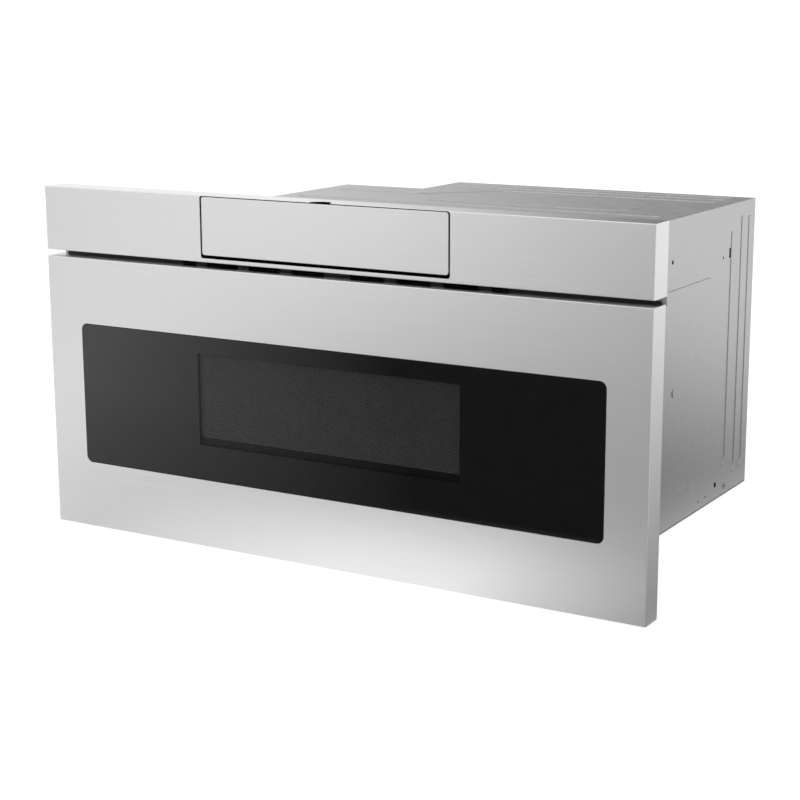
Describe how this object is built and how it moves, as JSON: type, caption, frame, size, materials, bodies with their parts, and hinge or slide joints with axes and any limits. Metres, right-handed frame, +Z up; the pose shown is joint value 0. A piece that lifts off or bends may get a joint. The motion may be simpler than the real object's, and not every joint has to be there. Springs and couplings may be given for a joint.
{
  "type": "microwave drawer",
  "caption": "Built-in microwave drawer: brushed steel front with a black window, hidden tilt-out control panel above it, and an oven compartment that slides out of a sheet-metal chassis.",
  "frame": {"origin": "middle of the footprint, on the surface that the unit stands on", "axes": "+X to the right as seen from the front, +Y to the back, +Z up; the drawer opens along -Y"},
  "size_m": [0.7588, 0.5768, 0.401],
  "materials": {
    "stainless_front": "fine horizontal brushed grain",
    "galvanised_sheet": "zinc-coated sheet with faint spangle",
    "zinc_plated": "bright zinc plating",
    "chamber_enamel": "satin grey enamel",
    "box_steel": "satin pressed stainless",
    "window_black": "black-bordered tinted glass",
    "inner_glass": "clear",
    "screen_steel": "perforated sheet, dark grey",
    "touch_glass": "gloss black touch glass",
    "floor_ceramic": "speckled glass ceramic",
    "black_plastic": "fine moulded texture",
    "gear_plastic": "natural acetal",
    "vent_paint": "satin dark grey paint",
    "mica": "mica sheet",
    "aluminium_bare": "bare",
    "lamination_steel": "varnished laminations",
    "copper_winding": "enamelled copper wire",
    "circuit_board": "solder mask",
    "motor_steel": "zinc-plated motor can",
    "switch_plastic": "moulded",
    "button_plastic": "moulded",
    "lamp_parts": "plated holder"
  },
  "bodies": {
    "chassis": {"base_plate": "galvanised_sheet", "side_panel_left": "galvanised_sheet", "side_panel_right": "galvanised_sheet", "top_panel": "galvanised_sheet", "rear_panel": "galvanised_sheet", "rear_screws": "zinc_plated", "recess_panel": "galvanised_sheet", "cord_gland": "black_plastic", "front_frame": "galvanised_sheet", "oven_chamber": "chamber_enamel", "stirrer_dome": "galvanised_sheet", "waveguide": "galvanised_sheet", "waveguide_cover": "mica", "stirrer_motor": "motor_steel", "magnetron": "motor_steel", "magnetron_fins": "aluminium_bare", "transformer_core": "lamination_steel", "transformer_coils": "copper_winding", "hv_capacitor": "aluminium_bare", "fan_shroud": "black_plastic", "fan_motor": "motor_steel", "exhaust_duct": "galvanised_sheet", "oven_lamp": "lamp_parts", "thermal_cutouts": "switch_plastic", "power_board": "circuit_board", "noise_filter": "circuit_board", "drive_motor": "motor_steel", "rack_guide": "black_plastic", "slide_outer_left": "zinc_plated", "slide_outer_right": "zinc_plated", "interlock_switches": "switch_plastic", "control_fascia": "stainless_front", "fascia_backplate": "galvanised_sheet", "vent_strip": "vent_paint", "flap_brackets": "zinc_plated", "flap_hinge_pins": "zinc_plated"},
    "drawer": {"drawer_skin": "stainless_front", "window_glass": "window_black", "perforated_screen": "screen_steel", "inner_window": "inner_glass", "door_frame": "galvanised_sheet", "choke_cover": "black_plastic", "drawer_box": "box_steel", "floor_plate": "floor_ceramic", "drawer_rack": "gear_plastic", "slide_inner_left": "zinc_plated", "slide_inner_right": "zinc_plated", "slide_brackets": "zinc_plated", "latch_hooks": "zinc_plated"},
    "slide_mid_left": {"slide_middle_left": "zinc_plated"},
    "slide_mid_right": {"slide_middle_right": "zinc_plated"},
    "control_flap": {"flap_skin": "stainless_front", "flap_housing": "black_plastic", "control_glass": "touch_glass", "control_board": "circuit_board"},
    "fan": {"fan_blade": "black_plastic"},
    "stirrer": {"stirrer_blade": "aluminium_bare"},
    "pinion": {"drive_pinion": "gear_plastic"},
    "plunger_left": {"switch_plunger_left": "button_plastic"},
    "plunger_right": {"switch_plunger_right": "button_plastic"}
  },
  "joints": [
    {"name": "drawer_slide", "type": "slide", "parent": "chassis", "child": "drawer", "axis": [0, -1, 0], "range_m": [0, 0.386]},
    {"name": "slide_mid_left_slide", "type": "slide", "parent": "chassis", "child": "slide_mid_left", "axis": [0, -1, 0], "range_m": [0, 0.193]},
    {"name": "slide_mid_right_slide", "type": "slide", "parent": "chassis", "child": "slide_mid_right", "axis": [0, -1, 0], "range_m": [0, 0.193]},
    {"name": "pinion_spin", "type": "hinge", "parent": "chassis", "child": "pinion", "pos_m": [0.012, -0.2364, 0.041], "axis": [0, 0, 1], "range_deg": [-2, 1845]},
    {"name": "flap_hinge", "type": "hinge", "parent": "chassis", "child": "control_flap", "pos_m": [0, -0.2824, 0.3399], "axis": [1, 0, 0], "range_deg": [0, 45]},
    {"name": "fan_spin", "type": "hinge", "parent": "chassis", "child": "fan", "pos_m": [0.069, 0.2356, 0.205], "axis": [1, 0, 0], "continuous": true},
    {"name": "stirrer_spin", "type": "hinge", "parent": "chassis", "child": "stirrer", "pos_m": [0, -0.0284, 0.275], "axis": [0, 0, 1], "continuous": true},
    {"name": "plunger_left_press", "type": "slide", "parent": "chassis", "child": "plunger_left", "axis": [0, 1, 0], "range_m": [0, 0.0015], "stiffness_N_per_m": 100},
    {"name": "plunger_right_press", "type": "slide", "parent": "chassis", "child": "plunger_right", "axis": [0, 1, 0], "range_m": [0, 0.0015], "stiffness_N_per_m": 100}
  ],
  "couplings": [
    {"joint": "slide_mid_left_slide", "follows": "drawer_slide", "ratio": 0.5},
    {"joint": "slide_mid_right_slide", "follows": "drawer_slide", "ratio": 0.5},
    {"joint": "pinion_spin", "follows": "drawer_slide", "rad_per_m": 83.333}
  ]
}
